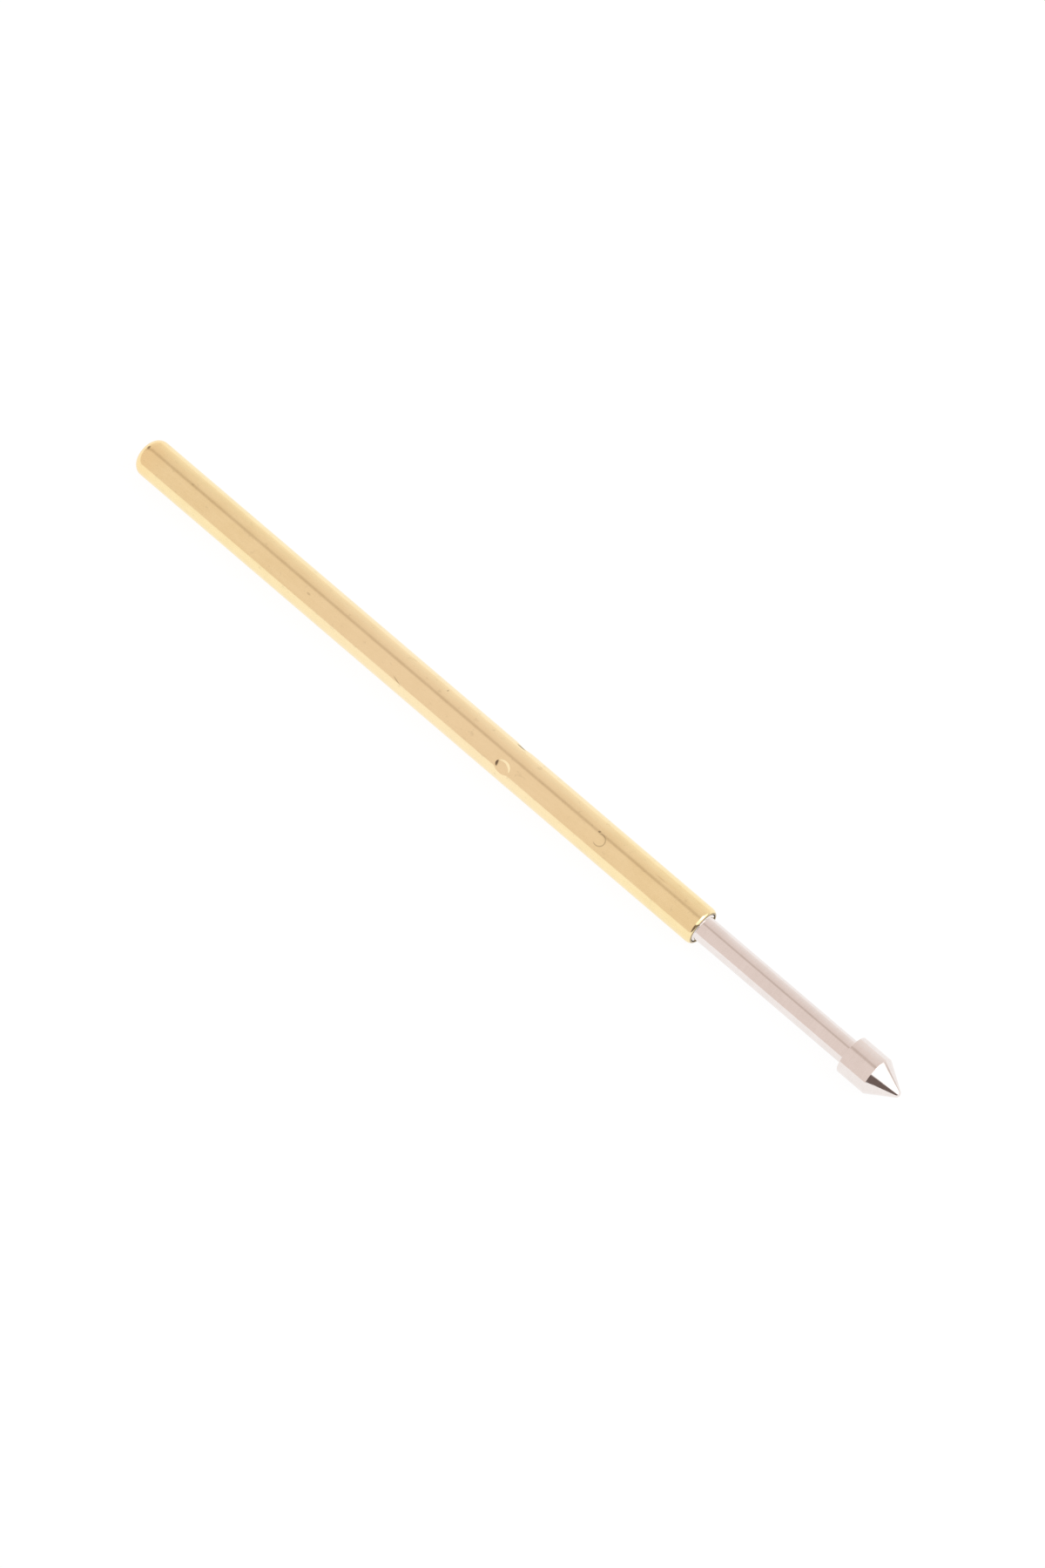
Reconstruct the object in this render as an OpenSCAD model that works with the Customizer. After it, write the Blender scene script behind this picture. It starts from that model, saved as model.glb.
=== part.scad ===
// Pogo pin: a spring-loaded test probe with a closed barrel, a turned plunger and a coil spring.
// It lies along X with its tip towards +X. The origin is on the axis, in the plane of the barrel's mouth.
// Every length is in millimetres.

/* [Barrel] */
// Outside diameter of the barrel
barrel_d = 1.36; // [1.32:0.01:1.44]
// Length of the barrel
barrel_length = 24.85; // [22:0.05:28]
// Thickness of the drawn tube
barrel_wall = 0.13; // [0.1:0.01:0.15]
// Radius of the mouth's outer edge
mouth_radius = 0.09; // [0.04:0.01:0.1]
// Outside radius where the tube is closed in at its rear end
end_radius = 0.35; // [0.25:0.01:0.5]
// Thickness of the closed end
end_wall = 0.15; // [0.1:0.01:0.3]
// Diameter of the vent that the closing leaves in the rear end
vent_d = 0.3; // [0.2:0.02:0.5]

/* [Crimps] */
// Number of crimps around the barrel
crimp_count = 3; // [2:1:4]
// Distance from the mouth to the middle of the crimps
crimp_setback = 8.5; // [7:0.1:12]
// Angle of the first crimp about the axis, from +Z towards +Y
crimp_angle = -41; // [-180:1:180]
// Length of each crimp along the barrel
crimp_length = 0.64; // [0.4:0.02:0.8]

/* [Plunger] */
// Height of the shoulder between the tail bearing and the shaft, which the crimps catch
shoulder = 0.09; // [0.06:0.01:0.12]
// Full stroke of the plunger
travel = 6.35; // [4:0.05:8]
// Gap left between the head and the mouth at full stroke
stroke_gap = 0.1; // [0.05:0.01:0.5]
// Diameter of the head
head_d = 1.38; // [1.2:0.01:1.6]
// Length of the head's cylinder
head_length = 1.06; // [0.6:0.02:2]
// Full angle of the pointed tip
tip_angle = 67; // [45:1:90]
// Radius that blunts the point
tip_radius = 0.04; // [0.02:0.01:0.1]
// Length of the bearing at the plunger's tail
tail_length = 2.4; // [1.5:0.1:4]
// Chamfer at both ends of the bearing
tail_chamfer = 0.06; // [0.03:0.01:0.08]
// Diameter of the nose that centres the spring
nose_d = 0.56; // [0.4:0.02:0.6]
// Length of that nose
nose_length = 0.6; // [0.3:0.05:1]

/* [Spring] */
// Diameter of the spring wire
wire_d = 0.15; // [0.12:0.01:0.16]
// Number of working turns
working_turns = 28; // [20:1:30]
// Closed turns at each end
closed_turns = 1; // [1:0.25:1.5]

/* [Fits] */
// Radial clearance between the tail bearing and the bore
bearing_clearance = 0.02; // [0.01:0.005:0.04]
// Radial clearance between the crimps and the shaft
crimp_clearance = 0.025; // [0.015:0.005:0.04]
// Gap between the tail bearing and the crimps that stop it at rest
stop_clearance = 0.02; // [0.01:0.005:0.05]
// Radial clearance between the spring and the bore
spring_clearance = 0.04; // [0.03:0.01:0.06]
// Clearance between the spring and the faces that it pushes on
seat_clearance = 0.01; // [0.005:0.005:0.03]
// Clearance between closed turns
turn_clearance = 0.01; // [0.005:0.005:0.02]

/* [Hidden] */
$fn = 72;

// The bore, and the closed end that the spring stands on.
barrel_r = barrel_d / 2;
bore_r = barrel_r - barrel_wall;
bore_back = end_wall - barrel_length;

// The tail bearing runs in the bore, and the slimmer shaft passes between the crimps.
bearing_r = bore_r - bearing_clearance;
shaft_r = bearing_r - shoulder;

// A crimp is a round punch mark: the punch's radius comes from the mark's length and depth.
crimp_depth = bore_r - crimp_clearance - shaft_r;
punch_r = (pow(crimp_length / 2, 2) + pow(crimp_depth, 2)) / (2 * crimp_depth);
punch_reach = barrel_r - crimp_depth + punch_r;

// The bump inside a crimp meets the tail bearing's rim this far from the crimp's middle.
bump_r = punch_r + barrel_wall;
bump_reach = sqrt(pow(bump_r, 2) - pow(punch_reach - bearing_r, 2));

// Stations along the axis.
shaft_front = travel + stroke_gap;
head_front = shaft_front + head_length;
tail_front = -crimp_setback - bump_reach - stop_clearance;
tail_back = tail_front - tail_length;
nose_back = tail_back - nose_length;

// The cone ends in a small sphere that it meets smoothly.
head_r = head_d / 2;
tip_half = tip_angle / 2;
tip_centre = head_front + head_r / tan(tip_half) - tip_radius / sin(tip_half);
TIP_STEPS = 6;

// Spring: a helix with closed ends, which stands on the closed end and reaches the tail bearing.
coil_r = bore_r - spring_clearance - wire_d / 2;
coil_back = bore_back + seat_clearance + wire_d / 2;
coil_front = tail_back - seat_clearance - wire_d / 2;
closed_pitch = wire_d + turn_clearance;
working_pitch = (coil_front - coil_back - 2 * closed_turns * closed_pitch) / working_turns;
coil_turns = working_turns + 2 * closed_turns;
TURN_STEPS = 18;
WIRE_SIDES = 7;

// Small overlap for cuts that have to pass right through.
CUT = 0.05;

GOLD = [0.85, 0.69, 0.38];
NICKEL = [0.76, 0.71, 0.69];
STEEL = [0.62, 0.63, 0.66];

// Turns a half section about the pin's axis: x is the radius, y runs along the pin.
module turned() {
    rotate([0, 90, 0]) rotate_extrude() children();
}

// Half section of a round bar from y = 0 to y = length, with both of its outer edges rounded.
module bar_section(r, length, back_radius, front_radius) {
    difference() {
        square([r, length]);
        translate([r - back_radius, -CUT]) square([back_radius + CUT, back_radius + CUT]);
        translate([r - front_radius, length - front_radius]) square([front_radius + CUT, front_radius + CUT]);
    }
    intersection() {
        translate([r - back_radius, back_radius]) circle(r = back_radius);
        square([r, back_radius]);
    }
    intersection() {
        translate([r - front_radius, length - front_radius]) circle(r = front_radius);
        translate([0, length - front_radius]) square([r, front_radius]);
    }
}

// A ball of the given radius where each crimp's punch stood.
module at_crimps(r) {
    for (i = [0 : crimp_count - 1]) {
        rotate([-(crimp_angle + i * 360 / crimp_count), 0, 0])
            translate([-crimp_setback, 0, punch_reach])
            sphere(r = r);
    }
}

// Drawn tube, closed in at the rear but for a vent, with a rounded mouth.
module tube() {
    inner_radius = max(end_radius - barrel_wall, CUT);
    turned() translate([0, -barrel_length]) difference() {
        bar_section(barrel_r, barrel_length, end_radius, mouth_radius);
        translate([0, end_wall]) bar_section(bore_r, barrel_length, inner_radius, CUT);
        translate([-CUT, -CUT]) square([vent_d / 2 + CUT, end_wall + 2 * CUT]);
    }
}

// The crimps dent the tube from outside, and raise bumps inside that hold the plunger in.
module barrel() {
    color(GOLD) difference() {
        union() {
            tube();
            intersection() {
                at_crimps(bump_r);
                translate([-crimp_setback - crimp_length, 0, 0])
                    rotate([0, 90, 0]) cylinder(r = bore_r + barrel_wall / 2, h = 2 * crimp_length);
            }
        }
        at_crimps(punch_r);
    }
}

// Tip, head, shaft, tail bearing and spring nose are turned from one bar.
module plunger() {
    tip = [for (i = [0 : TIP_STEPS])
        let (a = i * (90 - tip_half) / TIP_STEPS)
        [tip_radius * sin(a), tip_centre + tip_radius * cos(a)]];
    color(NICKEL) turned() polygon(concat(tip, [
        [head_r, head_front],
        [head_r, shaft_front],
        [shaft_r, shaft_front],
        [shaft_r, tail_front],
        [bearing_r - tail_chamfer, tail_front],
        [bearing_r, tail_front - tail_chamfer],
        [bearing_r, tail_back + tail_chamfer],
        [bearing_r - tail_chamfer, tail_back],
        [nose_d / 2, tail_back],
        [nose_d / 2, nose_back + tail_chamfer],
        [nose_d / 2 - tail_chamfer, nose_back],
        [0, nose_back],
    ]));
}

// Distance along the helix after the given number of turns.
function coil_x(turns) =
    coil_back
    + closed_pitch * (min(turns, closed_turns) + max(turns - closed_turns - working_turns, 0))
    + working_pitch * min(max(turns - closed_turns, 0), working_turns);

// The wire's section at one step of the helix, in the plane through the axis.
function wire_ring(step) =
    let (turns = step / TURN_STEPS, a = 360 * turns)
    [for (j = [0 : WIRE_SIDES - 1])
        let (b = -360 * j / WIRE_SIDES, r = coil_r + wire_d / 2 * cos(b))
        [coil_x(turns) + wire_d / 2 * sin(b), r * sin(a), r * cos(a)]];

module spring() {
    steps = floor(coil_turns * TURN_STEPS);
    points = [for (i = [0 : steps]) each wire_ring(i)];
    sides = [for (i = [0 : steps - 1], j = [0 : WIRE_SIDES - 1])
        let (k = (j + 1) % WIRE_SIDES)
        [i * WIRE_SIDES + j, i * WIRE_SIDES + k, (i + 1) * WIRE_SIDES + k, (i + 1) * WIRE_SIDES + j]];
    back_face = [for (j = [WIRE_SIDES - 1 : -1 : 0]) j];
    front_face = [for (j = [0 : WIRE_SIDES - 1]) steps * WIRE_SIDES + j];
    color(STEEL) polyhedron(points, concat(sides, [back_face, front_face]), convexity = 10);
}

barrel();
plunger();
spring();
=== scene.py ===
"""Pogo pin: a gold-plated barrel with three crimps, and a nickel-plated plunger with a pointed head.

The pin lies along X with its tip towards +X. The frame's origin is on the axis at the barrel's mouth.
Shapes are worked out in millimetres and written in metres.
"""

import math

import bpy
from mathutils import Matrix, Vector


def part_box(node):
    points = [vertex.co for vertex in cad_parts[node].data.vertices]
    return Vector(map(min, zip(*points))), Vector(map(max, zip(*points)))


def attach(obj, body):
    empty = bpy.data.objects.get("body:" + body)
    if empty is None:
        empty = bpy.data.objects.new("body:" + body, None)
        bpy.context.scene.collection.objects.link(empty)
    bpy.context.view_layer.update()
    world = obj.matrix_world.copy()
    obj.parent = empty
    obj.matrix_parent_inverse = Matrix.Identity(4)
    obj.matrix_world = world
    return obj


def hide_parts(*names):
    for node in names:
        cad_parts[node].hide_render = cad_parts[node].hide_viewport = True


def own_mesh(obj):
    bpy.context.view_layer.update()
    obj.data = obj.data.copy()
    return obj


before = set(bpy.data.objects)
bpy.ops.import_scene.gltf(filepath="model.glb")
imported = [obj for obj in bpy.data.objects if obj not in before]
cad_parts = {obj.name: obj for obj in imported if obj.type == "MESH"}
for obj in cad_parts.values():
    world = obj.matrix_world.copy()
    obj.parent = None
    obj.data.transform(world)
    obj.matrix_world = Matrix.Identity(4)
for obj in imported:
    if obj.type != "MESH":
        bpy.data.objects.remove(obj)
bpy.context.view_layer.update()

MM = 0.001

# Segments round every turned piece, and how near to a corner the next station lies, so that smooth
# shading doesn't bend the flat faces on either side.
SEGMENTS = 240
NEAR = 0.01

# Sizes that the frame gives, in millimetres.
barrel_low, barrel_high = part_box("barrel")
plunger_low, plunger_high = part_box("plunger")
spring_low, spring_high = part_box("spring")
BARREL_R = barrel_high.z / MM
BARREL_BACK = barrel_low.x / MM
HEAD_R = plunger_high.z / MM
TIP_X = plunger_high.x / MM
NOSE_BACK = plunger_low.x / MM
SPRING_R = spring_high.z / MM
SPRING_BACK = spring_low.x / MM
SPRING_FRONT = spring_high.x / MM
FLOOR_Z = -HEAD_R * MM

# The barrel. Its mouth is turned in over MOUTH_LENGTH along the pin and MOUTH_RADIUS across it, and ends
# in a small inner break. Mouth and closed end stand a little further out than those of the CAD part.
# EDGE is the radius of the broken edges on both pieces.
WALL = 0.13
BORE_R = BARREL_R - WALL
MOUTH_X = 0.04
MOUTH_RADIUS = 0.11
MOUTH_LENGTH = 0.20
MOUTH_BREAK = 0.015
END_X = BARREL_BACK - 0.09
END_RADIUS = 0.38
END_WALL = 0.23
VENT_R = 0.15
EDGE = 0.018

# The three crimps, with their angles in degrees from +Z towards +Y. The mesh is fine for CRIMP_REACH to
# each side of their middle. CRIMP_SOFTNESS rounds their rims, and a punch that is FAR_OUTSIDE times that
# far off leaves the wall as it is.
CRIMP_X = -8.38
CRIMP_ANGLES = (-42, 72, 199)
CRIMP_DEPTH = 0.092
CRIMP_LENGTH = 0.60
CRIMP_REACH = 0.42
CRIMP_SOFTNESS = 0.006
FAR_OUTSIDE = 20

# The plunger: shaft, head and tip, the collar that fills the mouth at rest, and the bearing at its tail,
# which the crimps stop.
SHAFT_R = 0.44
SHAFT_FRONT = 6.45
HEAD_FRONT = SHAFT_FRONT + 1.105
TIP_HALF = math.radians(64 / 2)
TIP_RADIUS = 0.15
COLLAR_R = 0.525
COLLAR_FRONT = MOUTH_X - 0.01
COLLAR_LENGTH = 1.5
COLLAR_TAPER = 0.08
BEARING_R = 0.53
TAIL_FRONT = -8.831
TAIL_LENGTH = 2.4
TAIL_CHAMFER = 0.06
NOSE_R = 0.28

# The spring: round wire with closed turns at both ends.
WIRE_R = 0.075
CLOSED_TURNS = 1
WORKING_TURNS = 28
TURN_GAP = 0.01


# ---- shapes ------------------------------------------------------------------------------------


def arc(x, r, radius, start, end, steps):
    """Points of an arc in the half section. Angles are in degrees, counted from +x towards +r."""
    angles = [math.radians(start + (end - start) * i / steps) for i in range(steps + 1)]
    return [(x + radius * math.cos(a), r + radius * math.sin(a)) for a in angles]


def stretch(x0, x1, r, steps=1):
    """Stations along a plain cylinder, with one close to each end, so that its shading stays straight."""
    way = 1 if x1 > x0 else -1
    a, b = x0 + way * NEAR, x1 - way * NEAR
    return [(a + (b - a) * i / steps, r) for i in range(steps + 1)]


def turned_mesh(name, profile, closed, radius_at=None):
    """A mesh of revolution about X from (x, r) points. radius_at(x, r, angle) may press the surface in."""
    verts, faces, rings = [], [], []
    for x, r in profile:
        if r < 1e-6:
            verts.append((x * MM, 0, 0))
            rings.append([len(verts) - 1])
            continue
        ring = []
        for i in range(SEGMENTS):
            angle = 2 * math.pi * i / SEGMENTS
            q = radius_at(x, r, angle) if radius_at else r
            ring.append(len(verts))
            verts.append((x * MM, q * math.sin(angle) * MM, q * math.cos(angle) * MM))
        rings.append(ring)
    pairs = list(zip(rings, rings[1:] + rings[:1])) if closed else list(zip(rings, rings[1:]))
    for one, two in pairs:
        for i in range(SEGMENTS):
            k = (i + 1) % SEGMENTS
            if len(one) == 1:
                faces.append((one[0], two[k], two[i]))
            elif len(two) == 1:
                faces.append((one[i], one[k], two[0]))
            else:
                faces.append((one[i], one[k], two[k], two[i]))
    return new_object(name, verts, faces)


def new_object(name, verts, faces):
    mesh = bpy.data.meshes.new(name)
    mesh.from_pydata(verts, [], faces)
    mesh.shade_smooth()
    mesh.validate()
    piece = bpy.data.objects.new(name, mesh)
    bpy.context.scene.collection.objects.link(piece)
    return piece


def crimped(x, r, angle):
    """The radius after the three punches: each pushes the wall in as far as its round nose reaches.
    The smaller of wall and nose is taken softly, so that the rim of a crimp is rounded."""
    if abs(x - CRIMP_X) > CRIMP_LENGTH:
        return r
    nose = ((CRIMP_LENGTH / 2) ** 2 + CRIMP_DEPTH**2) / (2 * CRIMP_DEPTH)
    reach = BARREL_R - CRIMP_DEPTH + nose
    ball = nose + BARREL_R - r
    for crimp in CRIMP_ANGLES:
        off = angle - math.radians(crimp)
        along = reach * math.cos(off)
        inside = along**2 - reach**2 - (x - CRIMP_X) ** 2 + ball**2
        if math.cos(off) < 0.5 or inside <= 0:
            continue
        near = along - math.sqrt(inside)
        gap = (near - r) / CRIMP_SOFTNESS
        if gap < FAR_OUTSIDE:
            r = near - CRIMP_SOFTNESS * math.log(1 + math.exp(gap))
    return r


def barrel_profile():
    """Closed half section of the barrel: outside from the rear to the mouth, and back through the bore."""
    crimp_a, crimp_b = CRIMP_X - CRIMP_REACH, CRIMP_X + CRIMP_REACH
    back_bore = END_X + END_WALL
    inner = END_RADIUS - WALL
    steps = 84
    crimp = [crimp_a + (crimp_b - crimp_a) * i / steps for i in range(steps + 1)]
    outside = arc(END_X + END_RADIUS, BARREL_R - END_RADIUS, END_RADIUS, 180, 90, 24)
    outside += stretch(END_X + END_RADIUS, crimp_a, BARREL_R, 12)
    outside += [(x, BARREL_R) for x in crimp]
    outside += stretch(crimp_b, MOUTH_X - MOUTH_LENGTH, BARREL_R, 6)
    lip = arc(-MOUTH_RADIUS, BARREL_R - MOUTH_RADIUS, MOUTH_RADIUS, 90, 0, 24)
    mouth = [(MOUTH_X + x * MOUTH_LENGTH / MOUTH_RADIUS, r) for x, r in lip]
    mouth += arc(MOUTH_X - MOUTH_BREAK, BORE_R + MOUTH_BREAK, MOUTH_BREAK, 0, -90, 6)
    bore = stretch(MOUTH_X - MOUTH_BREAK, crimp_b, BORE_R, 2)
    bore += [(x, BORE_R) for x in reversed(crimp)]
    bore += stretch(crimp_a, back_bore + inner, BORE_R, 2)
    end = arc(back_bore + inner, BORE_R - inner, inner, 90, 180, 10)
    end += [(back_bore, VENT_R + EDGE + NEAR)]
    end += arc(back_bore - EDGE, VENT_R + EDGE, EDGE, 0, -90, 4)
    end += arc(END_X + EDGE, VENT_R + EDGE, EDGE, -90, -180, 4)
    end += [(END_X, VENT_R + EDGE + NEAR)]
    return outside + mouth + bore + end


def plunger_profile():
    """Half section of the plunger from its tip to the nose that centres the spring."""
    tip_centre = HEAD_FRONT + HEAD_R / math.tan(TIP_HALF) - TIP_RADIUS / math.sin(TIP_HALF)
    turn = math.degrees(math.pi / 2 - TIP_HALF)
    tip = arc(tip_centre, 0, TIP_RADIUS, 0, turn, 12)
    tip[0] = (tip_centre + TIP_RADIUS, 0)
    cone_x, cone_r = tip[-1]
    flank = []
    for share in (0.98, 0.75, 0.5, 0.25, 0.02):
        ahead = EDGE + (cone_x - HEAD_FRONT - EDGE) * share
        flank.append((HEAD_FRONT + ahead, HEAD_R + (cone_r - HEAD_R) * ahead / (cone_x - HEAD_FRONT)))
    corner = HEAD_FRONT - EDGE * 0.6
    head = arc(corner, HEAD_R - EDGE, EDGE, turn, 90, 5)
    head += stretch(corner, SHAFT_FRONT + EDGE, HEAD_R, 4)
    head += arc(SHAFT_FRONT + EDGE, HEAD_R - EDGE, EDGE, 90, 180, 5)
    head += [(SHAFT_FRONT, HEAD_R - 2 * EDGE), (SHAFT_FRONT, SHAFT_R + 2 * EDGE)]
    shaft = arc(SHAFT_FRONT - EDGE, SHAFT_R + EDGE, EDGE, 0, -90, 4)
    shaft += stretch(SHAFT_FRONT - EDGE, COLLAR_FRONT + NEAR / 2, SHAFT_R, 8)
    shaft += [(COLLAR_FRONT, SHAFT_R + NEAR), (COLLAR_FRONT, COLLAR_R - NEAR)]
    shaft += [(COLLAR_FRONT - NEAR, COLLAR_R)]
    shaft += stretch(COLLAR_FRONT - NEAR, MOUTH_X - COLLAR_LENGTH, COLLAR_R, 2)
    shaft += stretch(MOUTH_X - COLLAR_LENGTH - COLLAR_TAPER, TAIL_FRONT, SHAFT_R, 4)
    shaft += [(TAIL_FRONT, SHAFT_R), (TAIL_FRONT, BEARING_R - TAIL_CHAMFER)]
    bearing_front = TAIL_FRONT - TAIL_CHAMFER
    tail_back = TAIL_FRONT - TAIL_LENGTH
    bearing_back = tail_back + TAIL_CHAMFER
    tail = [(bearing_front, BEARING_R)]
    tail += stretch(bearing_front, bearing_back, BEARING_R, 2)
    tail += [(bearing_back, BEARING_R), (tail_back, BEARING_R - TAIL_CHAMFER), (tail_back, NOSE_R)]
    tail += [(NOSE_BACK + TAIL_CHAMFER, NOSE_R), (NOSE_BACK, NOSE_R - TAIL_CHAMFER), (NOSE_BACK, 0)]
    return tip + flank + head + shaft + tail


def make_barrel():
    return turned_mesh("barrel_tube", barrel_profile(), True, crimped)


def make_plunger():
    return turned_mesh("plunger_bar", plunger_profile(), False)


def make_spring():
    """A helix of round wire with closed ends."""
    sides, steps_a_turn = 12, 40
    turns = WORKING_TURNS + 2 * CLOSED_TURNS
    steps = turns * steps_a_turn
    back, front = SPRING_BACK + WIRE_R, SPRING_FRONT - WIRE_R
    closed = 2 * WIRE_R + TURN_GAP
    pitch = (front - back - 2 * CLOSED_TURNS * closed) / WORKING_TURNS
    coil_r = SPRING_R - WIRE_R
    verts, faces = [], []
    for i in range(steps + 1):
        t = i / steps_a_turn
        slow = min(t, CLOSED_TURNS) + max(t - CLOSED_TURNS - WORKING_TURNS, 0)
        quick = min(max(t - CLOSED_TURNS, 0), WORKING_TURNS)
        x, a = back + closed * slow + pitch * quick, 2 * math.pi * t
        for j in range(sides):
            b = 2 * math.pi * j / sides
            r = coil_r + WIRE_R * math.cos(b)
            wire_x = x - WIRE_R * math.sin(b)
            verts.append((wire_x * MM, r * math.sin(a) * MM, r * math.cos(a) * MM))
    for i in range(steps):
        for j in range(sides):
            k = (j + 1) % sides
            faces.append((i * sides + j, i * sides + k, (i + 1) * sides + k, (i + 1) * sides + j))
    faces.append(tuple(reversed(range(sides))))
    faces.append(tuple(steps * sides + j for j in range(sides)))
    return new_object("spring_coil", verts, faces)


# ---- materials ---------------------------------------------------------------------------------


class Nodes:
    """A short way to add shader nodes and link them."""

    def __init__(self, tree):
        self.tree = tree
        tree.nodes.clear()

    def add(self, kind, values=(), **settings):
        node = self.tree.nodes.new(kind)
        for key, value in settings.items():
            setattr(node, key, value)
        for socket, value in dict(values).items():
            if isinstance(value, bpy.types.NodeSocket):
                self.tree.links.new(value, node.inputs[socket])
            else:
                node.inputs[socket].default_value = value
        return node

    def math(self, operation, a, b=0.0, c=0.0):
        return self.add("ShaderNodeMath", {0: a, 1: b, 2: c}, operation=operation).outputs[0]

    def mix(self, fac, a, b):
        node = self.add("ShaderNodeMix", data_type="RGBA")
        for socket, value in ((node.inputs[0], fac), (node.inputs[6], a), (node.inputs[7], b)):
            if isinstance(value, bpy.types.NodeSocket):
                self.tree.links.new(value, socket)
            else:
                socket.default_value = value
        return node.outputs[2]

    def band(self, value, low, high, to_low=0.0, to_high=1.0):
        """value carried from low..high to to_low..to_high, smoothly and held at both ends."""
        return self.add("ShaderNodeMapRange", {0: value, 1: low, 2: high, 3: to_low, 4: to_high},
                        interpolation_type="SMOOTHSTEP").outputs[0]

    def noise(self, vector, scale, detail=3.0, rough=0.55):
        return self.add("ShaderNodeTexNoise", {"Vector": vector, "Scale": scale, "Detail": detail,
                                               "Roughness": rough}).outputs["Fac"]

    def radius(self, xyz):
        """Distance from the pin's axis of the point whose coordinates are separated in xyz."""
        y, z = xyz.outputs[1], xyz.outputs[2]
        return self.math("SQRT", self.math("MULTIPLY_ADD", y, y, self.math("MULTIPLY", z, z)))

    def ramp(self, fac, stops):
        node = self.add("ShaderNodeValToRGB", {0: fac})
        elements = node.color_ramp.elements
        while len(elements) < len(stops):
            elements.new(0.5)
        for element, (at, colour) in zip(elements, stops):
            element.position, element.color = at, colour
        return node.outputs[0]


def new_material(name):
    material = bpy.data.materials.new(name)
    material.use_nodes = True
    return material, Nodes(material.node_tree)


def rgb(r, g, b):
    return (r, g, b, 1.0)


# Tints of the gold plate: paler about PALE_X, warmer at the closed end, and brown in the marks and in the
# painted shade.
PALE_X = -11
PALE_GOLD = rgb(0.98, 0.81, 0.54)
WARM_GOLD = rgb(0.96, 0.73, 0.38)
TARNISH_AND_SHADE = rgb(0.13, 0.08, 0.04)

# Marks on the barrel, and one painted shadow line: where along it, where round it in degrees from the top,
# half length, half width, tilt in degrees, and how dark.
MARKS_AND_PAINTED_SHADE = (
    (-24.72, -4, 0.07, 0.10, 0, 0.65),  # smudge at the closed end
    (-22.70, -4, 0.08, 0.05, 0, 0.16),  # faint speck
    (-17.20, -26, 0.10, 0.05, 0, 0.25),  # speck
    (-13.02, -51, 0.24, 0.025, -18, 0.45),  # slanting scratch
    (-11.50, 24, 0.04, 0.07, 0, 0.40),  # nick
    # Painted shadow: a dark stroke along the upper crimp's lower rim, standing in for the shade in the dent.
    (-8.44, 46, 0.24, 0.055, 0, 0.80),  # shadow line of the upper crimp
    (-4.47, -4, 0.07, 0.05, 35, 0.55),  # knot where the loop starts
    (-1.9, 8, 0.30, 0.03, 0, 0.15),  # faint rub
)

# The hair scratch that runs in a loop: its middle and its half sizes. It is open behind LOOP_OPEN_X.
LOOP = (-4.30, -22, 0.22, 0.20)
LOOP_OPEN_X = -4.40


def wear_and_painted_shade(n, mm, xyz):
    """How dark each point of the barrel is from rubs, small marks and a looped scratch, and from painted
    shade along the upper crimp and on the mouth's inner edge.
    """
    angle = n.math("DEGREES", n.math("ARCTAN2", xyz.outputs[1], xyz.outputs[2]))
    arc_mm = math.radians(BARREL_R)

    def reach(x, degrees, half_x, half_arc, tilt=0):
        """Distance from a mark's middle, counted in the mark's own half sizes."""
        along = n.math("SUBTRACT", xyz.outputs[0], x)
        round_pin = n.math("MULTIPLY", n.math("SUBTRACT", angle, degrees), arc_mm)
        c, s = math.cos(math.radians(tilt)), math.sin(math.radians(tilt))
        u = n.math("MULTIPLY_ADD", along, c / half_x, n.math("MULTIPLY", round_pin, s / half_x))
        v = n.math("MULTIPLY_ADD", along, -s / half_arc, n.math("MULTIPLY", round_pin, c / half_arc))
        return n.math("SQRT", n.math("MULTIPLY_ADD", u, u, n.math("MULTIPLY", v, v)))

    dark = n.band(n.noise(mm, 4.5, 2.5), 0.60, 0.76, 0.0, 0.12)
    for x, degrees, half_x, half_arc, tilt, depth in MARKS_AND_PAINTED_SHADE:
        spot = n.band(reach(x, degrees, half_x, half_arc, tilt), 0.35, 1.0, depth, 0.0)
        dark = n.math("MAXIMUM", dark, spot)
    off_loop = n.math("ABSOLUTE", n.math("SUBTRACT", reach(*LOOP), 1.0))
    loop = n.band(off_loop, 0.03, 0.16, 0.36, 0.0)
    loop = n.math("MULTIPLY", loop, n.band(xyz.outputs[0], LOOP_OPEN_X - 0.06, LOOP_OPEN_X + 0.06))
    dark = n.math("MAXIMUM", dark, loop)
    # Painted shade: a dark band on the mouth's inner edge, standing in for the shade of the gap and the
    # turned-in lip.
    rim = n.math("MULTIPLY", n.band(n.radius(xyz), BORE_R + 0.045, BORE_R + 0.08, 0.7, 0.0),
                 n.band(xyz.outputs[0], MOUTH_X - 0.17, MOUTH_X - 0.13))
    return n.math("MAXIMUM", dark, rim)


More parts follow.
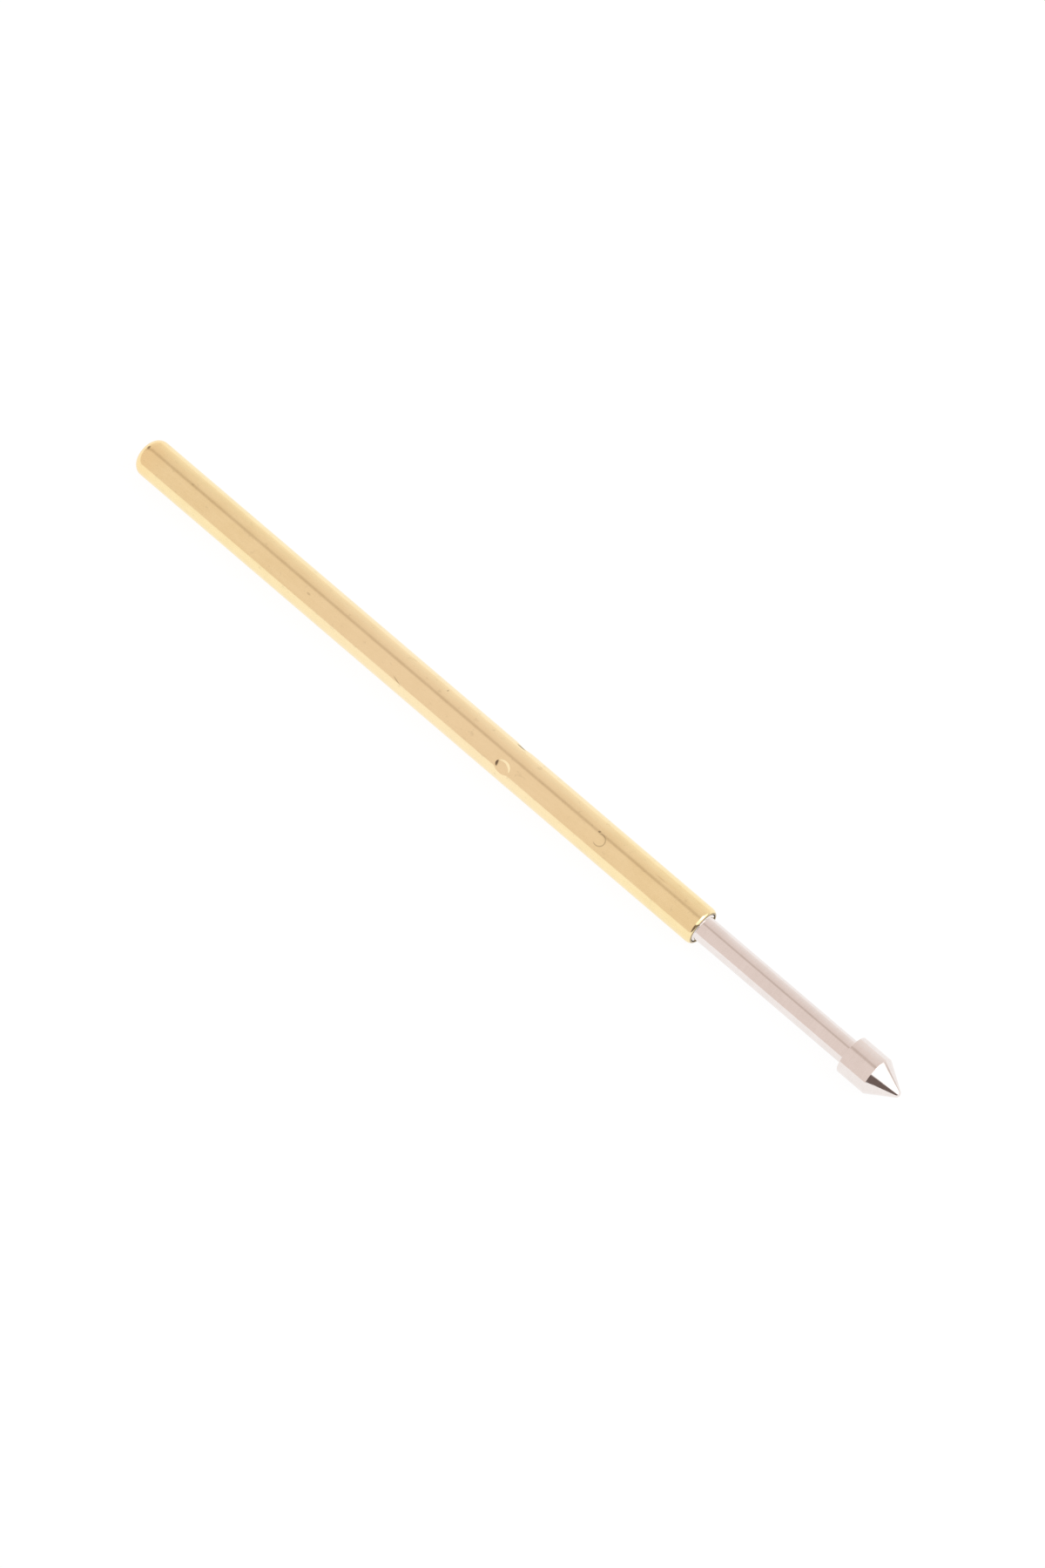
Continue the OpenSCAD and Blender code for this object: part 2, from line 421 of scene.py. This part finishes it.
def plated(name, light, dark, roughness, grain, worn_and_shaded=False):
    """Plated metal: two close tones in soft patches, a fine grain drawn or turned into it, and soft gloss.
    grain is how fine the texture is along X and across it, and the last flag adds the barrel's tints, its
    marks and painted shade."""
    material, n = new_material(name)
    place = n.add("ShaderNodeTexCoord").outputs["Object"]
    mm = n.add("ShaderNodeVectorMath", {0: place, 3: 1 / MM}, operation="SCALE").outputs[0]
    drawn = n.add("ShaderNodeVectorMath", {0: mm, 1: grain}, operation="MULTIPLY").outputs[0]
    patches = n.noise(mm, 1.6, 4.0)
    specks = n.noise(mm, 9.0, 3.0)
    lines = n.noise(drawn, 6.0, 2.0)
    fine = n.math("ADD", n.math("MULTIPLY", specks, 0.25), n.math("MULTIPLY", lines, 0.35))
    tone = n.math("MULTIPLY_ADD", patches, 0.4, fine)
    colour = n.mix(n.band(tone, 0.35, 0.65), dark, light)
    gloss = n.band(n.math("ADD", n.math("MULTIPLY", lines, 0.5), n.math("MULTIPLY", specks, 0.5)),
                   0.3, 0.7, roughness[0], roughness[1])
    if worn_and_shaded:
        xyz = n.add("ShaderNodeSeparateXYZ", {0: mm})
        from_middle = n.math("ABSOLUTE", n.math("SUBTRACT", xyz.outputs[0], PALE_X))
        colour = n.mix(n.band(from_middle, 2, 10, 0.5, 0.0), colour, PALE_GOLD)
        at_end = n.band(xyz.outputs[0], END_X + 0.24, END_X + 1.34, 0.6, 0.0)
        colour = n.mix(at_end, colour, WARM_GOLD)
        # Marks and painted shade darken the gold towards one brown.
        colour = n.mix(wear_and_painted_shade(n, mm, xyz), colour, TARNISH_AND_SHADE)
        in_bore = n.band(n.radius(xyz), BORE_R - 0.06, BORE_R + 0.01, 0.45, 0.0)
        gloss = n.math("ADD", gloss, in_bore)
    waves = n.math("ADD", n.math("MULTIPLY", specks, 0.7), n.math("MULTIPLY", lines, 0.3))
    bump = n.add("ShaderNodeBump", {"Strength": 0.25, "Distance": 0.004 * MM, "Height": waves})
    shader = n.add("ShaderNodeBsdfPrincipled", {
        "Base Color": colour, "Metallic": 1.0, "Roughness": gloss, "Normal": bump.outputs[0]})
    n.add("ShaderNodeOutputMaterial", {0: shader.outputs[0]})
    return material


def gold_plate():
    light, dark = rgb(0.99, 0.82, 0.48), rgb(0.94, 0.765, 0.43)
    return plated("gold_plate", light, dark, (0.10, 0.18), (0.15, 1.0, 1.0), worn_and_shaded=True)


def nickel_plate():
    light, dark = rgb(0.87, 0.81, 0.785), rgb(0.83, 0.765, 0.735)
    return plated("nickel_plate", light, dark, (0.07, 0.13), (3.0, 0.4, 0.4))


def spring_wire():
    light, dark = rgb(0.60, 0.61, 0.64), rgb(0.52, 0.53, 0.56)
    return plated("spring_wire", light, dark, (0.2, 0.3), (1.0, 1.0, 1.0))


# ---- light, floor and camera -------------------------------------------------------------------


def studio_world():
    """A soft tent of light, by the angle from straight up towards the back. Across the pin it is one rosy
    tone, with a darker seam just past the top, and a little lighter at the back. Beyond the tip it is open:
    dark low in front, bright overhead, and dimmer low at the back."""
    world = bpy.data.worlds.new("studio")
    bpy.context.scene.world = world
    world.use_nodes = True
    n = Nodes(world.node_tree)
    way = n.add("ShaderNodeTexCoord").outputs["Generated"]
    xyz = n.add("ShaderNodeSeparateXYZ", {0: way})
    lean = n.math("ARCTAN2", xyz.outputs[1], xyz.outputs[2])
    turn = n.math("MULTIPLY_ADD", lean, 1 / (2 * math.pi), 0.5)

    def stops(*pairs):
        return [((degrees + 180) / 360, rgb(*(level * c for c in tint))) for degrees, level, tint in pairs]

    rosy, pale, white = (1.0, 0.885, 0.83), (1.0, 0.93, 0.89), (1.0, 1.0, 1.0)
    seam, brown = (1.0, 0.85, 0.77), (1.0, 0.75, 0.68)
    across = n.ramp(turn, stops(
        (-90, 0.85, rosy), (-1, 0.85, rosy), (7, 0.65, seam), (14, 0.65, seam), (22, 0.81, rosy),
        (40, 0.85, rosy), (62, 0.88, pale), (80, 0.94, pale), (90, 0.97, pale)))
    beyond = n.ramp(turn, stops(
        (-96, 0.17, brown), (-38, 0.17, brown), (-30, 1.35, white), (70, 1.35, white),
        (78, 0.6, rosy), (90, 0.7, rosy)))
    ahead = n.band(xyz.outputs[0], 0.36, 0.50)
    light = n.mix(ahead, across, beyond)
    sky = n.add("ShaderNodeBackground", {0: light, 1: 1.0})
    n.add("ShaderNodeOutputWorld", {0: sky.outputs[0]})


def pale_floor():
    """A white floor that stays white to the camera and in reflections, with the pin's faint shadow on it."""
    half = 2.0
    corners = [(-half, -half, FLOOR_Z), (half, -half, FLOOR_Z), (half, half, FLOOR_Z), (-half, half, FLOOR_Z)]
    floor = new_object("floor", corners, [(0, 1, 2, 3)])
    material, n = new_material("floor_white")
    path = n.add("ShaderNodeLightPath")
    seen = n.math("MAXIMUM", path.outputs["Is Camera Ray"], path.outputs["Is Glossy Ray"])
    lit = n.add("ShaderNodeBsdfDiffuse", {0: rgb(0.93, 0.93, 0.93)})
    glow = n.add("ShaderNodeEmission", {0: rgb(1, 1, 1), 1: 1.04})
    share = n.math("MULTIPLY", seen, 0.90)
    both = n.add("ShaderNodeMixShader", {0: share, 1: lit.outputs[0], 2: glow.outputs[0]})
    n.add("ShaderNodeOutputMaterial", {0: both.outputs[0]})
    floor.data.materials.append(material)


def soft_lamp():
    """The key: one large soft panel beyond the tip, high at the back."""
    data = bpy.data.lights.new("key_panel", "AREA")
    data.shape, data.size, data.size_y = "RECTANGLE", 0.30, 0.30
    data.energy = 0.6
    lamp = bpy.data.objects.new("key_panel", data)
    bpy.context.scene.collection.objects.link(lamp)
    way = Vector((0.62, 0.35, 0.70)).normalized()
    distance = 0.6
    lamp.location = way * distance
    lamp.rotation_euler = way.to_track_quat("Z", "Y").to_euler()


def make_camera():
    """Seen from 44 degrees round from the front and 63 degrees up, through a long lens. Distance and the
    shift of the aim to the right and downwards are in millimetres."""
    azimuth, elevation = math.radians(43.86), math.radians(62.75)
    angle_of_view = math.radians(9.56)
    distance, shift_right, shift_down = 300, 0.176, 0.477
    back = Vector((math.sin(azimuth) * math.cos(elevation), -math.cos(azimuth) * math.cos(elevation),
                   math.sin(elevation)))
    right = Vector((math.cos(azimuth), math.sin(azimuth), 0))
    middle = Vector(((TIP_X + BARREL_BACK) / 2, 0, 0))
    aim = middle + right * shift_right - back.cross(right) * shift_down
    data = bpy.data.cameras.new("camera")
    data.sensor_fit = "VERTICAL"
    data.sensor_height = 36
    data.lens = data.sensor_height / 2 / math.tan(angle_of_view / 2)
    data.clip_start, data.clip_end = 0.01, 10
    camera = bpy.data.objects.new("camera", data)
    bpy.context.scene.collection.objects.link(camera)
    camera.location = (aim + back * distance) * MM
    camera.rotation_mode = "QUATERNION"
    camera.rotation_quaternion = (-back).to_track_quat("-Z", "Y")
    bpy.context.scene.camera = camera


# ---- the scene ---------------------------------------------------------------------------------


def dress(piece, node, body, material):
    """Gives a piece its material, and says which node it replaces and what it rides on."""
    piece.data.materials.append(material)
    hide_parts(node)
    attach(piece, body)
    return piece


dress(make_barrel(), "barrel", "barrel", gold_plate())
dress(make_plunger(), "plunger", "plunger", nickel_plate())
spring = dress(make_spring(), "spring", "barrel", spring_wire())
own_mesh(spring)

studio_world()
pale_floor()
soft_lamp()
make_camera()
bpy.context.scene.view_settings.view_transform = "Standard"
